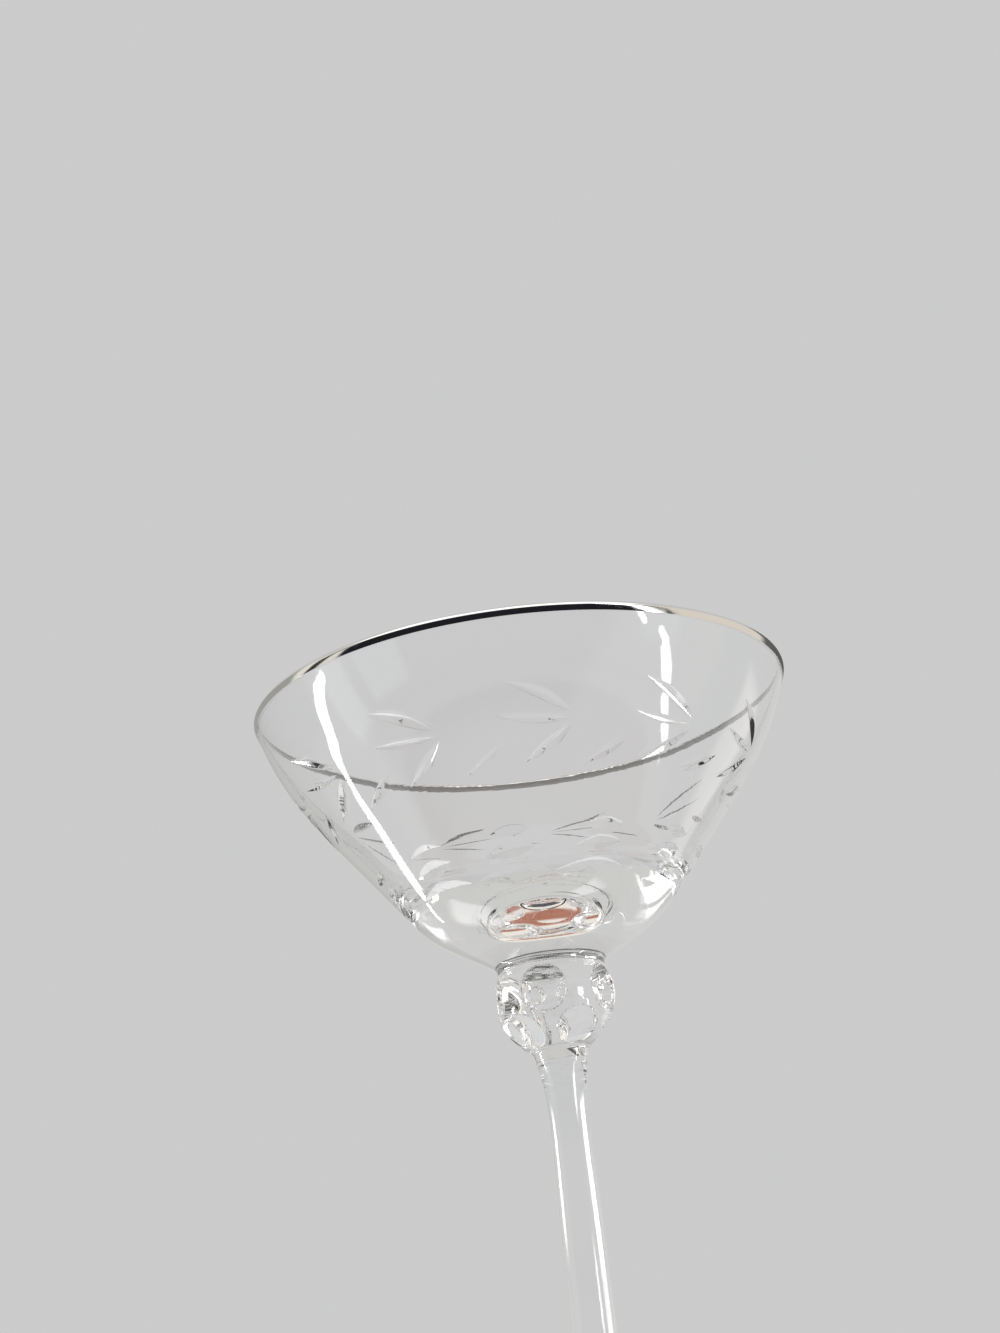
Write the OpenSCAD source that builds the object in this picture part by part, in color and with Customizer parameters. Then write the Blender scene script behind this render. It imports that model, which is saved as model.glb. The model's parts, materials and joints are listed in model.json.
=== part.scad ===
// Coupe glass: a thin conical bowl with a metal rim band, on a hollow-cut ball knop, a drawn stem and a foot.
// Millimetres, +Z up, origin at the centre of the foot's underside.

/* [Overall] */
// Height of the glass lip above the table
glass_h = 140; // [125:1:170]
// Outside diameter of the bowl at the rim
rim_d = 95; // [88:0.5:104]

/* [Bowl] */
// Depth from the lip to the joint under the bowl
bowl_depth = 49.3; // [47.5:0.1:54]
// Thickness of the solid base, from the lowest point inside down to the joint
base_wall = 8.8; // [6.5:0.1:10]
// Thickness of the wall at the lip
rim_wall = 1.1; // [0.8:0.05:1.6]
// Thickness of the wall on the lower cone
cone_wall = 1.4; // [1:0.05:2.2]
// Lean of the side at the lip, from straight down
rim_angle = 18; // [12:1:24]
// Lean of the lower cone, from straight down
cone_angle = 38; // [35:0.5:40]
// Depth at which the rounded side runs into the cone
cone_start = 20.5; // [18:0.5:23]
// Outside diameter there
cone_start_d = 73.6; // [72:0.2:76]
// Height of the rounded base outside, above the joint
base_round_h = 11.3; // [9:0.1:13]
// Height of the rounded bottom inside, above its lowest point
inner_round_h = 10; // [7:0.1:11]
// Lean of the base where it meets the neck
base_angle = 56; // [50:1:64]
// Height of the fillet in the neck
neck_fillet = 1.6; // [1:0.1:2.4]
// How far the base stands out past the joint at the top of that fillet
neck_swell = 0.6; // [0.3:0.1:1.2]

/* [Rim band] */
// Width of the metal band down the outside, below the round of the lip
band_w = 0.8; // [0.3:0.1:3]
// Thickness of the metal band
band_t = 0.15; // [0.1:0.05:0.3]

/* [Knop] */
// Diameter of the ball before cutting
knop_d = 20.8; // [20.4:0.2:25]
// Diameter of the joint with the bowl
bowl_joint_d = 18.6; // [17:0.2:19.6]
// Hollows round the ball's middle, and flats in the row below them
knop_cuts = 5; // [4:1:6]
// Turn of one hollow from the front
knop_turn = -10; // [-45:1:45]
// Half angle that one hollow spans on the ball
hollow_angle = 22.5; // [16:0.5:26]
// Depth of a hollow below its own rim
hollow_depth = 2.4; // [1:0.1:3]
// Half angle that one flat spans on the ball
flat_angle = 20; // [14:0.5:22]
// Latitude of the flats, below the ball's middle
flat_latitude = 40; // [38:1:46]

/* [Stem] */
// Diameter of the joint with the knop
stem_top_d = 10.4; // [9:0.2:12]
// Lean of the stem under the knop
stem_top_angle = 24; // [10:1:40]
// Diameter at the narrowest place
stem_waist_d = 7.2; // [5.5:0.1:8.5]
// Height of the narrowest place above the table
stem_waist_h = 40; // [32:1:50]
// Diameter of the joint with the foot
foot_joint_d = 14; // [12:0.2:17]
// Lean of the flare at that joint, outwards
flare_angle = 55; // [45:1:65]

/* [Foot] */
// Diameter of the foot
foot_d = 70; // [62:0.5:82]
// Height of the joint with the stem
foot_joint_h = 8; // [6.5:0.5:10]
// Thickness at the edge
foot_edge = 1.8; // [1.4:0.1:2.6]
// Lean of the foot's top at the edge, outwards
foot_edge_angle = 86; // [80:1:89]
// Rise of the hollow under the foot
foot_kick = 1.2; // [0.6:0.1:2]
// Width of the flat ring that it stands on
foot_ring_w = 5; // [3:0.5:8]

/* [Hidden] */
$fn = 128;
// Steps along each curve of an outline
steps = 12;
// Overlap of a cutting tool past the surface that it cuts
past = 1;

joint_z = glass_h - bowl_depth;
inner_z = joint_z + base_wall;
knop_r = knop_d / 2;
knop_z = joint_z - sqrt(pow(knop_r, 2) - pow(bowl_joint_d / 2, 2));
stem_top_z = knop_z - sqrt(pow(knop_r, 2) - pow(stem_top_d / 2, 2));

// Outlines are in [radius, height]. A lean of 0 runs straight down, 90 straight to the axis, below 0 outwards.
function lean(angle) = [-sin(angle), -cos(angle)];
function inward(angle) = [-cos(angle), sin(angle)];
function reversed(points) = [for (i = [len(points) - 1 : -1 : 0]) points[i]];

// A cubic that leaves a with one lean and reaches b with another, pulled along each by a share of its span
function curve(a, a_lean, b, b_lean, a_pull = 0.36, b_pull = 0.36) =
    let (span = norm(b - a))
    let (p = a + a_pull * span * lean(a_lean))
    let (q = b - b_pull * span * lean(b_lean))
    [for (i = [0 : steps])
        let (t = i / steps)
        let (u = 1 - t)
        u * u * u * a + 3 * u * u * t * p + 3 * u * t * t * q + t * t * t * b];

// The half circle over the lip, from the outside to the inside, at a given distance from the lip's middle
lip_r = rim_wall / 2;
lip = [rim_d / 2 - lip_r * cos(rim_angle), glass_h - lip_r];
function over_lip(r) = [for (i = [0 : steps])
    let (angle = 180 * i / steps - rim_angle)
    lip + r * [cos(angle), sin(angle)]];

// Outside of the bowl, from the foot of the rim band down to the neck
band_end = lip - lip_r * inward(rim_angle) + band_w * lean(rim_angle);
cone_top = [cone_start_d / 2, glass_h - cone_start];
function down_cone(from, height) = [from[0] - (from[1] - height) * tan(cone_angle), height];
cone_end = down_cone(cone_top, joint_z + base_round_h);
neck_top = [bowl_joint_d / 2 + neck_swell, joint_z + neck_fillet];
bowl_outside = concat(
    curve(band_end, rim_angle, cone_top, cone_angle),
    curve(cone_end, cone_angle, neck_top, base_angle),
    [for (p = curve(neck_top, base_angle, [bowl_joint_d / 2, joint_z], 0)) if (p != neck_top) p]
);

// Inside of the bowl, from the lip down to the axis
cone_top_in = cone_top + cone_wall * inward(cone_angle);
bowl_inside = concat(
    curve(lip + lip_r * inward(rim_angle), rim_angle, cone_top_in, cone_angle),
    curve(down_cone(cone_top_in, inner_z + inner_round_h), cone_angle, [0, inner_z], 90)
);

module bowl() {
    color([0.86, 0.90, 0.92, 0.45])
    rotate_extrude()
    polygon(concat(over_lip(lip_r), bowl_inside, [[0, joint_z]], reversed(bowl_outside)));
}

module rim_band() {
    color([0.72, 0.72, 0.74])
    rotate_extrude()
    polygon(concat(
        [band_end - band_t * inward(rim_angle)],
        over_lip(lip_r + band_t),
        reversed(over_lip(lip_r)),
        [band_end]
    ));
}

// Takes a round hollow out of the ball's middle, towards a turn
module knop_hollow(turn) {
    half = knop_r * sin(hollow_angle);
    wheel_r = (pow(half, 2) + pow(hollow_depth, 2)) / (2 * hollow_depth);
    rotate([0, 0, turn])
    translate([knop_r * cos(hollow_angle) - hollow_depth + wheel_r, 0, 0])
    sphere(r = wheel_r);
}

// Takes a flat off the ball below its middle, towards a turn
module knop_flat(turn) {
    rotate([0, flat_latitude, turn])
    translate([knop_r * cos(flat_angle), -knop_r, -knop_r])
    cube([knop_r, knop_d, knop_d]);
}

// Takes off everything of the ball from one height to another, measured from its middle
module knop_end(from, to) {
    translate([-knop_d, -knop_d, from])
    cube([2 * knop_d, 2 * knop_d, to - from]);
}

module knop() {
    pitch = 360 / knop_cuts;
    color([0.84, 0.89, 0.91, 0.55])
    translate([0, 0, knop_z])
    difference() {
        sphere(r = knop_r);
        knop_end(joint_z - knop_z, knop_r + past);
        knop_end(-knop_r - past, stem_top_z - knop_z);
        for (i = [0 : knop_cuts - 1]) {
            knop_hollow(knop_turn + i * pitch - 90);
            knop_flat(knop_turn + (i + 0.5) * pitch - 90);
        }
    }
}

module stem() {
    waist = [stem_waist_d / 2, stem_waist_h];
    color([0.84, 0.89, 0.91, 0.55])
    rotate_extrude()
    polygon(concat(
        curve([stem_top_d / 2, stem_top_z], stem_top_angle, waist, 0, 0.2, 0.5),
        curve(waist, 0, [foot_joint_d / 2, foot_joint_h], -flare_angle, 0.6, 0.1),
        [[0, foot_joint_h], [0, stem_top_z]]
    ));
}

module foot() {
    edge_r = foot_edge / 2;
    edge = [foot_d / 2 - edge_r, edge_r];
    ring_in = [edge[0] - foot_ring_w, 0];
    color([0.84, 0.89, 0.91, 0.55])
    rotate_extrude()
    polygon(concat(
        [[0, foot_joint_h]],
        curve([foot_joint_d / 2, foot_joint_h], -flare_angle, edge + [0, edge_r], -foot_edge_angle, 0.15, 0.5),
        [for (i = [1 : steps]) edge + edge_r * [sin(180 * i / steps), cos(180 * i / steps)]],
        curve(ring_in, 90, [0, foot_kick], 90)
    ));
}

bowl();
rim_band();
knop();
stem();
foot();
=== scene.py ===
import json
from math import cos, pi, radians, sin, tan

import bmesh
import bpy
from mathutils import Matrix, Vector
from mathutils.geometry import interpolate_bezier

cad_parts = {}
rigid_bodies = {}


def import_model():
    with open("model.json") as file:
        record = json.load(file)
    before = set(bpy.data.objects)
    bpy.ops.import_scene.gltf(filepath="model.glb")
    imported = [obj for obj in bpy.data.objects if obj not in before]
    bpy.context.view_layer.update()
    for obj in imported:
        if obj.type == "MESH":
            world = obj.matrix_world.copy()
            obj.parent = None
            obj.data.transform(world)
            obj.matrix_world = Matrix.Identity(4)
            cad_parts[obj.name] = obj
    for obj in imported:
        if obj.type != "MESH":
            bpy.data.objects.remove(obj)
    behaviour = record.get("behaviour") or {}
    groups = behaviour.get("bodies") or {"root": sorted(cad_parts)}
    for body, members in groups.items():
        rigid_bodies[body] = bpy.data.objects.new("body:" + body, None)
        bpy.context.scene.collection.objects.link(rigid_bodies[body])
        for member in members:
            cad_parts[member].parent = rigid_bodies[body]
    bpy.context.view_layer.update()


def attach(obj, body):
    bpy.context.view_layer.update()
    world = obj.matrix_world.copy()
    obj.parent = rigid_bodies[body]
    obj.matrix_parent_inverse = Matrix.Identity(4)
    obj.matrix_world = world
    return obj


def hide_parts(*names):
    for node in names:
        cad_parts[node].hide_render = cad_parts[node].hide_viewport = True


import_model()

# Bowl: a thin open cone of clear crystal with a rounded shoulder, blown into a mould and turned while hot.
# Its base is left solid, and is fused to the knop below while both are soft.
# Sizes are in millimetres, as on a drawing, and become metres when a piece is finished.
MM = 0.001
GLASS_H = 140
RIM_D = 95
BOWL_DEPTH = 49.3
BASE_WALL = 8.8
RIM_WALL = 1.1
CONE_WALL = 1.4
RIM_ANGLE = 18
CONE_ANGLE = 38
CONE_START = 20.5
CONE_START_D = 73.6
BASE_ROUND_H = 11.3
INNER_ROUND_H = 10
BASE_ANGLE = 56
NECK_FILLET = 1.6
NECK_SWELL = 0.6
BAND_W = 0.8
BOWL_JOINT_D = 18.6
ROUND = 240
LIP_STEPS = 36
SIDE_POINTS = 28
CONE_STEPS = 16
BASE_POINTS = 18
NECK_POINTS = 14
BOTTOM_POINTS = 30
PULL = 0.36
SAME = 1e-4

JOINT_Z = GLASS_H - BOWL_DEPTH
INNER_Z = JOINT_Z + BASE_WALL


def lean(angle):
    return Vector((-sin(radians(angle)), 0, -cos(radians(angle))))


def inward(angle):
    return Vector((-cos(radians(angle)), 0, sin(radians(angle))))


def at(radius, height):
    return Vector((radius, 0, height))


def curve(a, a_lean, b, b_lean, points, a_pull=PULL, b_pull=PULL):
    """Points of a cubic that leaves a with one lean and reaches b with another, pulled along each."""
    span = (b - a).length
    a_handle = a + a_pull * span * lean(a_lean)
    b_handle = b - b_pull * span * lean(b_lean)
    return interpolate_bezier(a, a_handle, b_handle, b, points)


def turned(outline):
    """Turns an outline that starts and ends on the axis, or closes on itself, once round the axis."""
    bm = bmesh.new()
    verts = [bm.verts.new(p) for p in outline]
    edges = [bm.edges.new(pair) for pair in zip(verts, verts[1:])]
    if outline[0].x > 0:
        edges.append(bm.edges.new((verts[-1], verts[0])))
    bmesh.ops.spin(
        bm, geom=verts + edges, axis=(0, 0, 1), cent=(0, 0, 0), steps=ROUND, angle=2 * pi, use_merge=True
    )
    bmesh.ops.remove_doubles(bm, verts=bm.verts, dist=SAME)
    bmesh.ops.recalc_face_normals(bm, faces=bm.faces)
    for face in bm.faces:
        face.smooth = True
    return bm


LEVEL = 0.999
FUSED, CUT = 1, 2


def fuse(bm, *heights):
    """Marks the flat discs where a piece is fused to its neighbours, so that they get the joint's material."""
    for face in bm.faces:
        level = face.calc_center_median().z
        if abs(face.normal.z) > LEVEL and any(abs(level - height) < 10 * SAME for height in heights):
            face.material_index = FUSED


def shown(bm, name, *materials):
    """Makes a finished mesh in millimetres into an object in metres."""
    bmesh.ops.scale(bm, vec=(MM, MM, MM), verts=bm.verts)
    mesh = bpy.data.meshes.new(name)
    bm.to_mesh(mesh)
    bm.free()
    for material in materials:
        mesh.materials.append(material)
    piece = bpy.data.objects.new(name, mesh)
    bpy.context.scene.collection.objects.link(piece)
    return piece


class Wire:
    """One output of a node. Sums on it add Math nodes, and node() adds any other kind."""

    def __init__(self, tree, socket=None):
        self.tree = tree
        self.socket = socket

    def node(self, kind, settings=None, inputs=None, output=0):
        made = self.tree.nodes.new(kind)
        for name, value in (settings or {}).items():
            setattr(made, name, value)
        for name, value in (inputs or {}).items():
            if isinstance(value, Wire):
                self.tree.links.new(value.socket, made.inputs[name])
            else:
                made.inputs[name].default_value = value
        return Wire(self.tree, made.outputs[output])

    def out(self, name):
        return Wire(self.tree, self.socket.node.outputs[name])

    def maths(self, operation, *values, clamp=False):
        settings = {"operation": operation, "use_clamp": clamp}
        return self.node("ShaderNodeMath", settings, dict(enumerate(values)))

    def __add__(self, other):
        return self.maths("ADD", self, other)

    def __sub__(self, other):
        return self.maths("SUBTRACT", self, other)

    def __rsub__(self, other):
        return self.maths("SUBTRACT", other, self)

    def __mul__(self, other):
        return self.maths("MULTIPLY", self, other)

    def __truediv__(self, other):
        return self.maths("DIVIDE", self, other)

    def __gt__(self, other):
        return self.maths("GREATER_THAN", self, other)

    __radd__ = __add__
    __rmul__ = __mul__

    def step(self, start, end):
        """0 before start, 1 after end, and smooth between them."""
        limits = {"Value": self, "From Min": start, "From Max": end}
        return self.node("ShaderNodeMapRange", {"interpolation_type": "SMOOTHSTEP"}, limits)


def finish(name):
    """A new material with an empty Principled shader, and the wire that its nodes start from."""
    material = bpy.data.materials.new(name)
    material.use_nodes = True
    shader = material.node_tree.nodes["Principled BSDF"]
    return material, shader, Wire(material.node_tree)


CRYSTAL_TINT = (0.994, 0.998, 0.997, 1)
CRYSTAL_IOR = 1.52
RING_STRETCH = 30


def crystal(name, waves, ripple, bumps):
    """Clear crystal, with the slow waves of hot glass and fine turning rings in its skin."""
    material, shader, wire = finish(name)
    shader.inputs["Base Color"].default_value = CRYSTAL_TINT
    shader.inputs["Roughness"].default_value = 0
    shader.inputs["IOR"].default_value = CRYSTAL_IOR
    shader.inputs["Transmission Weight"].default_value = 1
    place = wire.node("ShaderNodeTexCoord", output="Object")
    slow = wire.node("ShaderNodeTexNoise", None, {"Vector": place, "Scale": waves, "Detail": 1})
    flat = wire.node("ShaderNodeMapping", None, {"Vector": place, "Scale": (RING_STRETCH, RING_STRETCH, ripple)})
    rings = wire.node("ShaderNodeTexNoise", None, {"Vector": flat, "Scale": 1, "Detail": 2})
    skin = slow * bumps[0] + rings * bumps[1]
    bump = wire.node("ShaderNodeBump", None, {"Height": skin, "Strength": 1, "Distance": 1})
    material.node_tree.links.new(bump.socket, shader.inputs["Normal"])
    return material


bowl_crystal = crystal("bowl_crystal", waves=70, ripple=1700, bumps=(1.6e-5, 2.4e-6))
cut_crystal = crystal("cut_crystal", waves=400, ripple=900, bumps=(3e-6, 4e-7))
fused_joint, shader, _ = finish("fused_joint")
shader.inputs["Alpha"].default_value = 0

lip_r = RIM_WALL / 2
lip = at(RIM_D / 2 - lip_r * cos(radians(RIM_ANGLE)), GLASS_H - lip_r)


def over_lip(r):
    """The round of the lip, from the outside to the inside."""
    turns = [radians(180 / LIP_STEPS * i - RIM_ANGLE) for i in range(LIP_STEPS + 1)]
    return [lip + r * at(cos(t), sin(t)) for t in turns]


def down_cone(start, height):
    return at(start.x - (start.z - height) * tan(radians(CONE_ANGLE)), height)


band_end = lip - lip_r * inward(RIM_ANGLE) + BAND_W * lean(RIM_ANGLE)
cone_top = at(CONE_START_D / 2, GLASS_H - CONE_START)
cone_end = down_cone(cone_top, JOINT_Z + BASE_ROUND_H)
neck_top = at(BOWL_JOINT_D / 2 + NECK_SWELL, JOINT_Z + NECK_FILLET)
bowl_joint = at(BOWL_JOINT_D / 2, JOINT_Z)
cone_top_in = cone_top + CONE_WALL * inward(CONE_ANGLE)
bowl_outside = (
    curve(band_end, RIM_ANGLE, cone_top, CONE_ANGLE, SIDE_POINTS)
    + [cone_top.lerp(cone_end, i / CONE_STEPS) for i in range(1, CONE_STEPS)]
    + curve(cone_end, CONE_ANGLE, neck_top, BASE_ANGLE, BASE_POINTS)
    + curve(neck_top, BASE_ANGLE, bowl_joint, 0, NECK_POINTS)[1:]
)
lip_in = lip + lip_r * inward(RIM_ANGLE)
cone_end_in = down_cone(cone_top_in, INNER_Z + INNER_ROUND_H)
bowl_inside = (
    curve(lip_in, RIM_ANGLE, cone_top_in, CONE_ANGLE, SIDE_POINTS)[1:]
    + curve(cone_end_in, CONE_ANGLE, at(0, INNER_Z), 90, BOTTOM_POINTS)
)
bm = turned(bowl_inside[::-1] + over_lip(lip_r)[::-1] + bowl_outside + [at(0, JOINT_Z)])
fuse(bm, JOINT_Z)
blank = shown(bm, "bowl_blank", bowl_crystal, fused_joint, cut_crystal)

# Leaves: shallow mitre cuts that a wheel takes out of the outside of the wall, polished clear.
# Eleven sprays of four leaves go round below the rim, and eleven sprigs of three broader leaves above the base.
REPEATS = 11
SPRAY_TURN = 12.5
SPRAY_DEPTH = 17
# Each leaf: turn and depth of its start and its tip from the spray's point, half width, and sideways bow
SPRAY_LEAVES = [
    ((-0.8, -1.0), (-15.7, -6.0), 1.10, 0.4),
    ((-1.0, -0.1), (-18.3, -1.2), 0.80, -0.5),
    ((-0.4, 0.7), (-13.2, 5.6), 1.00, -0.4),
    ((-19.0, 3.0), (-30.5, 6.4), 0.75, -0.3),
]
SPRIG_TURN = 25.3
SPRIG_DEPTH = 36
SPRIG_LEAVES = [
    ((6, -4.6), (-9, -4.3), 1.15, 0.2),
    ((7, -2.1), (-12, -1.4), 1.50, 0.2),
    ((12, 1.6), (-19, 1.7), 1.75, 0.3),
]
# Half of the wheel's edge, from its ridge outwards: share of the leaf's half width, and of its depth
WHEEL = [(0, 1), (0.3, 0.65), (0.62, 0.28), (0.78, 0.12), (0.9, 0.045), (1, 0), (1.25, -0.1)]
WHEEL_TOP = -0.4
SPRAY_SLOPE = 0.45
SPRIG_SLOPE = 0.22
STATIONS = 20
# Share of the width left at a leaf's ends, and how far its widest place is pulled towards its start
LEAF_END = 0.02
LEAF_PULL = 0.9
LEAF_CREASE = 15


def wall_at(turn, depth, height=0):
    """A point over the outside of the wall, by turn from the front, depth below the lip and height above it."""
    level = GLASS_H - depth
    a, b = next(ab for ab in zip(bowl_outside, bowl_outside[1:]) if ab[1].z <= level <= ab[0].z)
    out = Vector((a.z - b.z, 0, b.x - a.x)).normalized()
    point = a.lerp(b, (a.z - level) / (a.z - b.z)) + height * out
    return Matrix.Rotation(radians(turn - 90), 3, "Z") @ point


def leaf_cutter(start, tip, half_width, bow, slope):
    """The wheel's edge swept along one leaf, deepest in the middle and out of the glass at both ends."""
    bm = bmesh.new()
    edge = WHEEL + [(WHEEL[-1][0], None)]
    section = [bm.verts.new((u, 0, i)) for i, (u, _) in enumerate(edge)]
    section += [bm.verts.new((-u, 0, i)) for i, (u, _) in reversed(list(enumerate(edge))[1:])]
    end = bm.faces.new(section)
    whole = [end] + end.edges[:] + section
    bmesh.ops.spin(bm, geom=whole, axis=(0, 1, 0), dvec=(0, 1 / STATIONS, 0), steps=STATIONS, angle=0)
    bmesh.ops.holes_fill(bm, edges=bm.edges, sides=0)
    radius = wall_at(0, (start[1] + tip[1]) / 2).xy.length
    slant = cos(radians(CONE_ANGLE))
    along = Vector((radians(tip[0] - start[0]) * radius, (tip[1] - start[1]) / slant))
    across = Vector((-along.y, along.x)).normalized()
    for vert in bm.verts:
        u, t, i = vert.co
        d = edge[round(i)][1]
        swell = LEAF_END + (1 - LEAF_END) * sin(pi * t ** LEAF_PULL)
        off = across * (u * half_width * swell + bow * sin(pi * t))
        turn = start[0] + t * (tip[0] - start[0]) + off.x / radians(1) / radius
        depth = start[1] + t * (tip[1] - start[1]) + off.y * slant
        down = WHEEL_TOP if d is None else d * slope * half_width * swell
        vert.co = wall_at(turn, depth, -down)
    bmesh.ops.recalc_face_normals(bm, faces=bm.faces)
    if bm.calc_volume(signed=True) < 0:
        bmesh.ops.reverse_faces(bm, faces=bm.faces)
    for face in bm.faces:
        face.smooth = True
        face.material_index = CUT
    return shown(bm, "leaf_cutter", bowl_crystal, fused_joint, cut_crystal)


wheel = bpy.data.collections.new("wheel")
garland = (
    (SPRAY_TURN, SPRAY_DEPTH, SPRAY_LEAVES, SPRAY_SLOPE),
    (SPRIG_TURN, SPRIG_DEPTH, SPRIG_LEAVES, SPRIG_SLOPE),
)
for turn, depth, leaves, slope in garland:
    for i in range(REPEATS):
        spot = Vector((turn + i * 360 / REPEATS, depth))
        for start, tip, half_width, bow in leaves:
            cutter = leaf_cutter(spot + Vector(start), spot + Vector(tip), half_width, bow, slope)
            wheel.objects.link(cutter)

cut = blank.modifiers.new("leaves", "BOOLEAN")
cut.operation = "DIFFERENCE"
cut.operand_type = "COLLECTION"
cut.collection = wheel
cut.solver = "MANIFOLD"
cut.material_mode = "INDEX"
mesh = bpy.data.meshes.new_from_object(blank.evaluated_get(bpy.context.evaluated_depsgraph_get()))
for made in [blank] + wheel.objects[:]:
    bpy.data.objects.remove(made)
bpy.data.collections.remove(wheel)
bm = bmesh.new()
bm.from_mesh(mesh)
for e in bm.edges:
    cuts = sum(face.material_index == CUT for face in e.link_faces)
    e.smooth = cuts == 0 or (cuts == 2 and e.calc_face_angle(0) < radians(LEAF_CREASE))
bm.to_mesh(mesh)
bm.free()
bowl = bpy.data.objects.new("cut_bowl", mesh)
bpy.context.scene.collection.objects.link(bowl)
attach(bowl, "root")
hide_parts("bowl")

# Rim band: a film of bright white metal, painted over the lip and fired on.
# It wraps the lip and ends as a narrow stripe on the outside, its face a little crowned and thinner at its edge.
# Its back lies against the glass and is given a dull light grey through it. That grey is partly the film's own
# back and partly painted reflection: a flat tone in place of what the metal back mirrors through the glass.
BAND_T = 0.15
BAND_SINK = 0.02
BAND_EDGE = 0.09
BAND_CROWN = 9
BAND_CREASE = 30
BAND_POINTS = 8
BAND_WHITE = (0.80, 0.79, 0.77, 1)
BACK_PAINTED_GREY = (0.70, 0.70, 0.69, 1)
BACK_DULL = 0.6
POLISHED, WORN, BRUSHED = 0.05, 0.10, 0.04
STROKES_PER_M = (60, 60, 4000)
BRUSH_DEPTH = 2e-6
band_metal, shader, wire = finish("band_metal")
shader.inputs["Base Color"].default_value = BAND_WHITE
shader.inputs["Metallic"].default_value = 1
place = wire.node("ShaderNodeTexCoord", output="Object")
strokes = wire.node("ShaderNodeMapping", None, {"Vector": place, "Scale": STROKES_PER_M})
brush = wire.node("ShaderNodeTexNoise", None, {"Vector": strokes, "Scale": 1, "Detail": 3})
worn = wire.node("ShaderNodeTexNoise", None, {"Vector": place, "Scale": 300, "Detail": 2})
gloss = POLISHED + WORN * worn.step(0.4, 0.8) + BRUSHED * brush
band_metal.node_tree.links.new(gloss.socket, shader.inputs["Roughness"])
bump = wire.node("ShaderNodeBump", None, {"Height": brush, "Strength": 1, "Distance": BRUSH_DEPTH})
band_metal.node_tree.links.new(bump.socket, shader.inputs["Normal"])
# The back's even grey is painted reflection, a flat tone standing in for what the film's metal back would mirror
band_back, shader, _ = finish("band_back")
shader.inputs["Base Color"].default_value = BACK_PAINTED_GREY
shader.inputs["Roughness"].default_value = BACK_DULL
shader.inputs["Specular IOR Level"].default_value = 0
over_band = over_lip(lip_r + BAND_T)
band_low = band_end - BAND_EDGE * inward(RIM_ANGLE)
band_face = curve(over_band[0], RIM_ANGLE, band_low, RIM_ANGLE + BAND_CROWN, BAND_POINTS)
bm = turned(
    band_face[:0:-1]
    + over_band
    + over_lip(lip_r - BAND_SINK)[::-1]
    + [band_end + BAND_SINK * inward(RIM_ANGLE)]
)
for e in bm.edges:
    e.smooth = e.calc_face_angle(0) < radians(BAND_CREASE)
for face in bm.faces:
    middle = face.calc_center_median()
    out = at(middle.xy.length, middle.z) - lip
    way = at(face.normal.xy.dot(middle.xy.normalized()), face.normal.z)
    face.material_index = int(out.dot(way) < 0)
rim_band = shown(bm, "metal_rim_band", band_metal, band_back)
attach(rim_band, "root")
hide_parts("rim_band")

# Knop: a solid ball of crystal under the bowl, cut by hand with five round hollows and five flats below them.
# It is fused to the bowl above and to the stem below.
KNOP_D = 20.8
KNOP_CUTS = 5
KNOP_TURN = -10
HOLLOW_ANGLE = 22.5
HOLLOW_DEPTH = 2.4
FLAT_ANGLE = 20
FLAT_LATITUDE = -40
STEM_TOP_D = 10.4
CUT_ROUND = 0.14
CUT_ROUND_STEPS = 3
HOLLOW_RINGS = 14
BALL_RINGS = 120
CUT_EDGE = 12
knop_r = KNOP_D / 2
knop_z = JOINT_Z - (knop_r ** 2 - (BOWL_JOINT_D / 2) ** 2) ** 0.5
stem_top_z = knop_z - (knop_r ** 2 - (STEM_TOP_D / 2) ** 2) ** 0.5
knop_crystal = crystal("knop_crystal", waves=120, ripple=120, bumps=(3e-6, 1e-6))


def slice_off(bm, point, way):
    """Cuts off what lies past a plane, and closes the cut with one flat face."""
    geom = bm.verts[:] + bm.edges[:] + bm.faces[:]
    made = bmesh.ops.bisect_plane(bm, geom=geom, dist=SAME, plane_co=point, plane_no=way, clear_outer=True)
    rim = [g for g in made["geom_cut"] if isinstance(g, bmesh.types.BMEdge)]
    face = bmesh.ops.contextual_create(bm, geom=rim)["faces"][0]
    face.smooth = False
    return face


def knop_flat(bm, turn, latitude, half_angle):
    """Takes a flat off the ball, and gives its face, its middle and the way that it looks."""
    turn, up = radians(turn - 90), radians(latitude)
    way = Vector((cos(turn) * cos(up), sin(turn) * cos(up), sin(up)))
    middle = at(0, knop_z) + way * knop_r * cos(radians(half_angle))
    return slice_off(bm, middle, way), middle, way


def hollow_out(bm, face, middle, way):
    """Sinks a round flat face to the shape that the edge of a ball-ended wheel leaves."""
    half = knop_r * sin(radians(HOLLOW_ANGLE))
    wheel_r = (half ** 2 + HOLLOW_DEPTH ** 2) / (2 * HOLLOW_DEPTH)
    for i in range(1, HOLLOW_RINGS + 1):
        share = cos(pi / 2 * i / (HOLLOW_RINGS + 1))
        sunk = (wheel_r ** 2 - (share * half) ** 2) ** 0.5 - (wheel_r - HOLLOW_DEPTH)
        face = bmesh.ops.extrude_discrete_faces(bm, faces=[face])["faces"][0]
        for vert in face.verts:
            out = vert.co - middle
            out -= out.dot(way) * way
            vert.co = middle + out.normalized() * share * half - sunk * way
    for made in bmesh.ops.poke(bm, faces=[face])["faces"]:
        made.smooth = True


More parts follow.
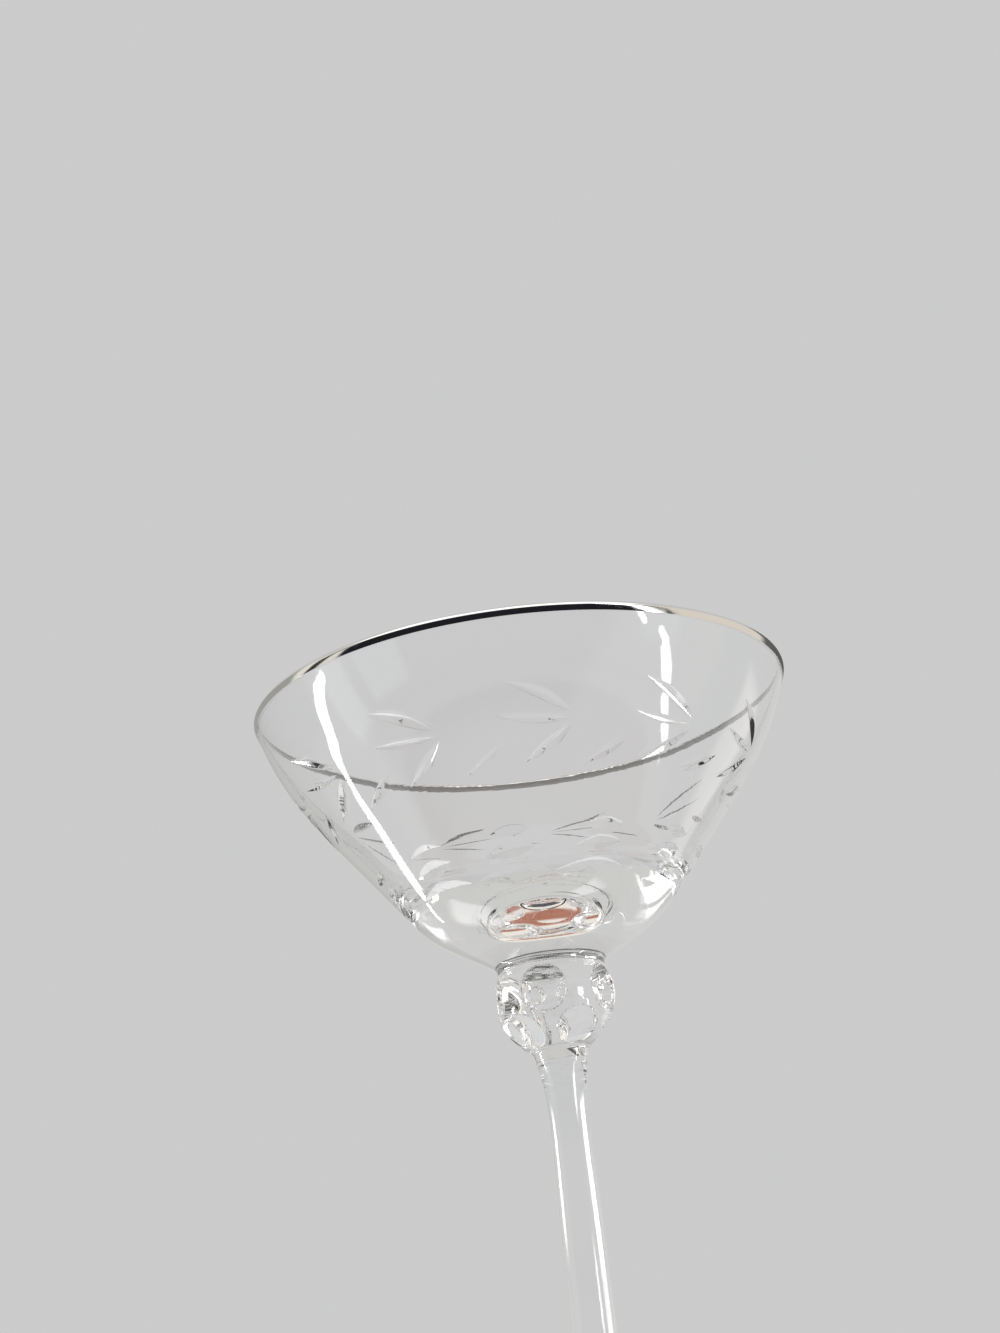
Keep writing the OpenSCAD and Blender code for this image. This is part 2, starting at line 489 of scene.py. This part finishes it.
bm = bmesh.new()
bmesh.ops.create_uvsphere(bm, u_segments=ROUND, v_segments=BALL_RINGS, radius=knop_r)
bmesh.ops.translate(bm, vec=(0, 0, knop_z), verts=bm.verts)
for face in bm.faces:
    face.smooth = True
hollows = []
for i in range(KNOP_CUTS):
    turn = KNOP_TURN + i * 360 / KNOP_CUTS
    hollows.append(knop_flat(bm, turn, 0, HOLLOW_ANGLE))
    knop_flat(bm, turn + 180 / KNOP_CUTS, FLAT_LATITUDE, FLAT_ANGLE)
for face, middle, way in hollows:
    face.smooth = True
    hollow_out(bm, face, middle, way)
bmesh.ops.recalc_face_normals(bm, faces=bm.faces)
sharp = [e for e in bm.edges if e.calc_face_angle(0) > radians(CUT_EDGE)]
bmesh.ops.bevel(
    bm, geom=sharp, offset=CUT_ROUND, affect="EDGES", segments=CUT_ROUND_STEPS, profile=0.5, material=-1
)
slice_off(bm, at(0, JOINT_Z), Vector((0, 0, 1)))
slice_off(bm, at(0, stem_top_z), Vector((0, 0, -1)))
bmesh.ops.recalc_face_normals(bm, faces=bm.faces)
fuse(bm, JOINT_Z, stem_top_z)
knop = shown(bm, "cut_knop", knop_crystal, fused_joint)
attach(knop, "root")
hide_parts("knop")

# Stem: drawn out of the same hot crystal, thinnest a third of the way up and flared into the foot.
# Both its ends are fused.
STEM_TOP_ANGLE = 24
STEM_WAIST_D = 7.2
STEM_WAIST_H = 40
FOOT_JOINT_D = 14
FOOT_JOINT_H = 8
FLARE_ANGLE = 55
STEM_POINTS = 26
STEM_PULLS = 0.2, 0.5
FLARE_PULLS = 0.6, 0.1
waist = at(STEM_WAIST_D / 2, STEM_WAIST_H)
foot_joint = at(FOOT_JOINT_D / 2, FOOT_JOINT_H)
stem_crystal = crystal("stem_crystal", waves=150, ripple=60, bumps=(6e-6, 4e-6))
bm = turned(
    [at(0, stem_top_z)]
    + curve(at(STEM_TOP_D / 2, stem_top_z), STEM_TOP_ANGLE, waist, 0, STEM_POINTS, *STEM_PULLS)
    + curve(waist, 0, foot_joint, -FLARE_ANGLE, STEM_POINTS, *FLARE_PULLS)[1:]
    + [at(0, FOOT_JOINT_H)]
)
fuse(bm, stem_top_z, FOOT_JOINT_H)
stem = shown(bm, "drawn_stem", stem_crystal, fused_joint)
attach(stem, "root")
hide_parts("stem")

# Foot: a disc of crystal, spun out flat while hot, with a rounded edge and a shallow hollow underneath.
# The narrow ring that it stands on is finely scuffed from use.
FOOT_D = 70
FOOT_EDGE = 1.8
FOOT_EDGE_ANGLE = 86
FOOT_KICK = 1.2
FOOT_RING_W = 5
FOOT_POINTS = 34
FOOT_PULLS = 0.15, 0.5
EDGE_STEPS = 30
KICK_POINTS = 24
SCUFFED = 0.35
SCUFF_TOP = 1e-5, 5e-5
foot_crystal = crystal("foot_crystal", waves=60, ripple=300, bumps=(1.2e-5, 8e-7))
wire = Wire(foot_crystal.node_tree)
place = wire.node("ShaderNodeTexCoord", output="Object")
height = wire.node("ShaderNodeSeparateXYZ", None, {0: place}).out("Z")
scratches = wire.node("ShaderNodeTexNoise", None, {"Vector": place, "Scale": 900, "Detail": 3})
scuffs = (1 - height.step(*SCUFF_TOP)) * scratches.step(0.4, 0.7) * SCUFFED
shader = foot_crystal.node_tree.nodes["Principled BSDF"]
foot_crystal.node_tree.links.new(scuffs.socket, shader.inputs["Roughness"])
edge_r = FOOT_EDGE / 2
edge = at(FOOT_D / 2 - edge_r, edge_r)
edge_top = edge + at(0, edge_r)
edge_turns = [radians(180 / EDGE_STEPS * i) for i in range(1, EDGE_STEPS + 1)]
bm = turned(
    [at(0, FOOT_JOINT_H)]
    + curve(foot_joint, -FLARE_ANGLE, edge_top, -FOOT_EDGE_ANGLE, FOOT_POINTS, *FOOT_PULLS)
    + [edge + edge_r * at(sin(t), cos(t)) for t in edge_turns]
    + curve(at(edge.x - FOOT_RING_W, 0), 90, at(0, FOOT_KICK), 90, KICK_POINTS)
)
fuse(bm, FOOT_JOINT_H)
foot = shown(bm, "spun_foot", foot_crystal, fused_joint)
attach(foot, "root")
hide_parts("foot")

# Floor: a plain pale sheet of paper that runs out of sight, and takes the shadow.
# Light that the glass or the band has mirrored passes it and sees the room.
PALE = 0.60
FLOOR_R = 6
bm = bmesh.new()
bmesh.ops.create_circle(bm, cap_ends=True, segments=96, radius=FLOOR_R)
mesh = bpy.data.meshes.new("floor")
bm.to_mesh(mesh)
bm.free()
floor = bpy.data.objects.new("floor", mesh)
bpy.context.scene.collection.objects.link(floor)
paper, shader, wire = finish("floor_paper")
shader.inputs["Base Color"].default_value = (PALE, PALE, PALE, 1)
shader.inputs["Roughness"].default_value = 1
shader.inputs["Specular IOR Level"].default_value = 0
mirrored = wire.node("ShaderNodeLightPath", output="Glossy Depth") > 0.5
clear = wire.node("ShaderNodeBsdfTransparent")
mixed = wire.node("ShaderNodeMixShader", None, {0: mirrored, 1: Wire(wire.tree, shader.outputs[0]), 2: clear})
paper.node_tree.links.new(mixed.socket, paper.node_tree.nodes["Material Output"].inputs["Surface"])
mesh.materials.append(paper)

# Room: a plain pale backdrop where it is seen straight or through the glass, and an even light on the floor.
# The crystal mirrors windows at both sides and a dark middle, and the metal band light and dark slanted strips.
# Light that turns round inside the glass meets cream walls, with copper low down and a dark bottom.
world = bpy.data.worlds.new("room")
bpy.context.scene.world = world
world.use_nodes = True
world.node_tree.nodes.clear()
room = Wire(world.node_tree)
look = room.node("ShaderNodeSeparateXYZ", None, {0: room.node("ShaderNodeTexCoord", output="Generated")})
right = room.maths("ARCTAN2", look.out("X"), 0 - look.out("Y")) / radians(1)
up = room.maths("ARCSINE", look.out("Z")) / radians(1)


def window(points, soft):
    """A strip of light along points of turn to the right, height and width there, in degrees."""
    light = 0
    for (x0, y0, w0), (x1, y1, w1) in zip(points, points[1:]):
        squeeze = cos(radians((y0 + y1) / 2))
        dx, dy = (x1 - x0) * squeeze, y1 - y0
        x, y = (right - x0) * squeeze, up - y0
        t = room.maths("ADD", (x * dx + y * dy) / (dx * dx + dy * dy), 0, clamp=True)
        away = room.maths("SQRT", room.maths("POWER", x - t * dx, 2) + room.maths("POWER", y - t * dy, 2))
        strip = (w0 / 2 + t * ((w1 - w0) / 2) - away).step(-soft, soft)
        light = room.maths("MAXIMUM", light, strip)
    return light


def area(x0, x1, y0, y1, soft, slant=0):
    """A soft-edged patch between two turns to the right and two heights, in degrees, its sides slanting."""
    turn = right - slant * up if slant else right
    across = turn.step(x0 - soft, x0 + soft) * (1 - turn.step(x1 - soft, x1 + soft))
    return across * up.step(y0 - soft, y0 + soft) * (1 - up.step(y1 - soft, y1 + soft))


def tone(*colour):
    return colour + (1,)


def blend(factor, a, b):
    return room.node(
        "ShaderNodeMix", {"data_type": "RGBA"}, {"Factor": factor, "A": a, "B": b}, output="Result"
    )


def patched(colour, patches):
    """Lays soft-edged patches over a colour, each over the ones before it."""
    for place, over in patches:
        colour = blend(area(*place), colour, over)
    return colour


BACKDROP = tone(PALE, PALE, PALE * 1.005)
CEILING = tone(0.22, 0.22, 0.23)
WALLS = tone(0.66, 0.66, 0.66)
LEFT_WALL = tone(0.40, 0.40, 0.39)
BLACK = tone(0.015, 0.015, 0.02)
LINE = tone(0.03, 0.03, 0.03)
SMALL_LIGHT = tone(4, 4, 4)
LIGHT = tone(14, 14, 14)
WINDOW_LIGHT = tone(16, 16, 16)
FLOOR_LIGHT = tone(0.78, 0.78, 0.78)
INNER_WALLS = tone(0.60, 0.595, 0.58)
NECK_DARK = tone(0.08, 0.08, 0.09)
CREAM = tone(0.95, 0.89, 0.80)
LOW_CREAM = tone(0.85, 0.80, 0.73)
COPPER = tone(0.42, 0.16, 0.10)
BOTTOM_DARK = tone(0.02, 0.03, 0.05)
LEAF_LIGHT = tone(1.9, 1.9, 1.95)
BASE_LIGHT = tone(1.5, 1.5, 1.55)

# Points of each window: turn to the right, height and width there
LEFT_WINDOW = [
    (-88, -7, 3), (-93, -8.8, 5.5), (-96.7, -12.6, 6), (-98.7, -15.9, 5.6), (-101.5, -19.2, 5), (-107.5, -21.8, 4),
    (-110.5, -24.4, 2.4), (-114, -26.2, 2), (-119, -25.6, 1.8), (-124.3, -24, 1.8), (-137, -29.8, 1.8),
]
RIGHT_WINDOW = [
    (66, -13.5, 2.6), (68.9, -15.6, 2.8), (69.8, -18.4, 4.3), (72.3, -22.3, 4.8), (75.5, -27, 4.4),
    (79, -31.8, 3.2), (83, -34.5, 3), (86, -36, 3), (90.8, -37.3, 2),
]
TOP_WINDOW = [(48, -5.5, 1.5), (53, -9, 2.2), (57.5, -12.5, 2)]
WINDOW_SOFT = 0.6

# Patches of the room: two turns to the right, two heights, softness and slant of the sides, and colour
IN_BAND = [
    ((-70, 60, 18, 70, 6), tone(1.5, 1.5, 1.5)),
    ((54, 128, -30, 22, 5), tone(0.84, 0.77, 0.70)),
    ((126, 175, -10, 30, 4), tone(0.12, 0.12, 0.12)),
    ((-100, -60, -40, 12, 3, 0.64), tone(0.90, 0.87, 0.80)),
    ((-82, -70, -40, 14, 1.5, 1.3), LINE),
    ((-67, 30, -48, 12, 2, 0.64), BLACK),
    ((-40, 44, -48, 12, 2, -0.7), BLACK),
    ((44, 50, -40, 14, 1.5, -0.7), tone(6, 6, 6)),
    ((57, 63, -40, 14, 1, -0.5), LINE),
]
IN_CRYSTAL = [
    ((-66, 52, -48, 12, 8, 0.5), BLACK),
    ((120, 138, -22, -2, 3), tone(1.7, 1.65, 1.6)),
    ((-135, -105, -62, -40, 4), SMALL_LIGHT),
    ((75, 100, -75, -58, 4), SMALL_LIGHT),
    ((-117, -98, 7, 20, 2), LIGHT),
    ((78, 113, 5, 20, 2), LIGHT),
    ((46, 57, -7, 6, 2), LIGHT),
]
INSIDE_CRYSTAL = [
    ((-92, -78, -30, 8, 2), LEAF_LIGHT),
    ((-71, -50, -28, 4, 2), LEAF_LIGHT),
    ((-116, -35, 4, 17, 3), BASE_LIGHT),
    ((58, 76, -20, -2, 3), BASE_LIGHT),
    ((42, 58, -9, 22, 3), BASE_LIGHT),
]
path = room.node("ShaderNodeLightPath", output="Glossy Depth")
through = path.out("Transmission Depth") > 0.5
lit = path.out("Diffuse Depth") > 0.5
once, twice, thrice, often = path > 0.5, path > 1.5, path > 2.5, path > 3.5
low = 0 - up
behind = right.step(140, 150) + (0 - right).step(140, 150)

# Straight on and through the glass: the backdrop, under a dark ceiling that only bent light reaches
plain = blend(through, BACKDROP, blend(up.step(58, 70), BACKDROP, CEILING))

# Mirrored inside the glass: dark above for the line at the neck, cream ahead, lights for the leaves and the base,
# and lower down cream, a ring of copper and the dark bottom
neck = up.step(10, 18) * twice * (1 - thrice) * (1 - behind * area(-180, 180, 31, 44, 2))
copper = low.step(40, 43) * (1 - low.step(60, 64)) * (1 - behind * (1 - low.step(49, 52)))
within = blend(neck, INNER_WALLS, NECK_DARK)
within = blend(area(-100, 100, -32, 6, 6) * (1 - often), within, CREAM)
within = patched(within, INSIDE_CRYSTAL)
within = blend(low.step(32, 36), within, LOW_CREAM)
within = blend(copper, within, COPPER)
within = blend(area(-48, 48, -85, -35, 2) * twice, within, BOTTOM_DARK)

# Mirrored by the band, and by the outside of the crystal with its windows
around = blend(area(-170, -98, -14, 20, 3), WALLS, LEFT_WALL)
banded = patched(around, IN_BAND)
around = patched(around, IN_CRYSTAL)
for points in (LEFT_WINDOW, RIGHT_WINDOW, TOP_WINDOW):
    around = blend(window(points, WINDOW_SOFT), around, WINDOW_LIGHT)

# Rays off polished crystal are singular, and those off the slightly rough metal of the band are not
mirrored = blend(path.out("Is Singular Ray"), banded, blend(through, around, within))
seen = blend(lit, blend(once, plain, mirrored), FLOOR_LIGHT)
backdrop = room.node("ShaderNodeBackground", None, {"Color": seen, "Strength": 1})
ending = world.node_tree.nodes.new("ShaderNodeOutputWorld")
world.node_tree.links.new(backdrop.socket, ending.inputs["Surface"])

# Lamp: one large soft lamp from the upper left, for the shadow on the floor.
# Nothing mirrors it, and it is not seen through the glass.
LAMP_STRENGTH = 0.8
LAMP_SPREAD = radians(25)
LAMP_TILT = radians(35)
LAMP_TURN = radians(-40)
lamp = bpy.data.lights.new("soft_lamp", "SUN")
lamp.energy = LAMP_STRENGTH
lamp.angle = LAMP_SPREAD
soft_lamp = bpy.data.objects.new("soft_lamp", lamp)
soft_lamp.rotation_euler = (LAMP_TILT, 0, LAMP_TURN)
soft_lamp.visible_glossy = False
soft_lamp.visible_transmission = False
bpy.context.scene.collection.objects.link(soft_lamp)

# Camera: close to the glass and low, looking up at the bowl and tipped a little to one side.
# It aims at the middle of the rim, which RIM_X and RIM_Y place in a frame of VIEW_W by VIEW_H.
VIEW_W, VIEW_H = 1000, 1333
VIEW_DISTANCE = 400
VIEW_RISE = radians(19.42)
VIEW_ROLL = radians(6.8)
FOCUS = 2221.8
RIM_X, RIM_Y = 519.7, 704.0
SENSOR = 36
camera_data = bpy.data.cameras.new("camera")
camera_data.sensor_fit = "VERTICAL"
camera_data.sensor_height = SENSOR
camera_data.lens = FOCUS / VIEW_H * SENSOR
camera_data.shift_x = (VIEW_W / 2 - RIM_X) / VIEW_H
camera_data.shift_y = (RIM_Y - VIEW_H / 2) / VIEW_H
camera_data.clip_start = 0.01
camera = bpy.data.objects.new("camera", camera_data)
ahead = Vector((0, cos(VIEW_RISE), sin(VIEW_RISE)))
camera.matrix_world = (
    Matrix.Translation((Vector((0, 0, GLASS_H)) - VIEW_DISTANCE * ahead) * MM)
    @ Matrix.Rotation(VIEW_RISE, 4, "X")
    @ Matrix.Rotation(pi / 2, 4, "X")
    @ Matrix.Rotation(-VIEW_ROLL, 4, "Z")
)
bpy.context.scene.collection.objects.link(camera)
bpy.context.scene.camera = camera
bpy.context.scene.view_settings.view_transform = "Standard"
# Crystal this thick mirrors light many times before letting it out
bpy.context.scene.cycles.max_bounces = 32
bpy.context.scene.cycles.glossy_bounces = 24
bpy.context.scene.cycles.transmission_bounces = 32
bpy.context.scene.cycles.transparent_max_bounces = 16
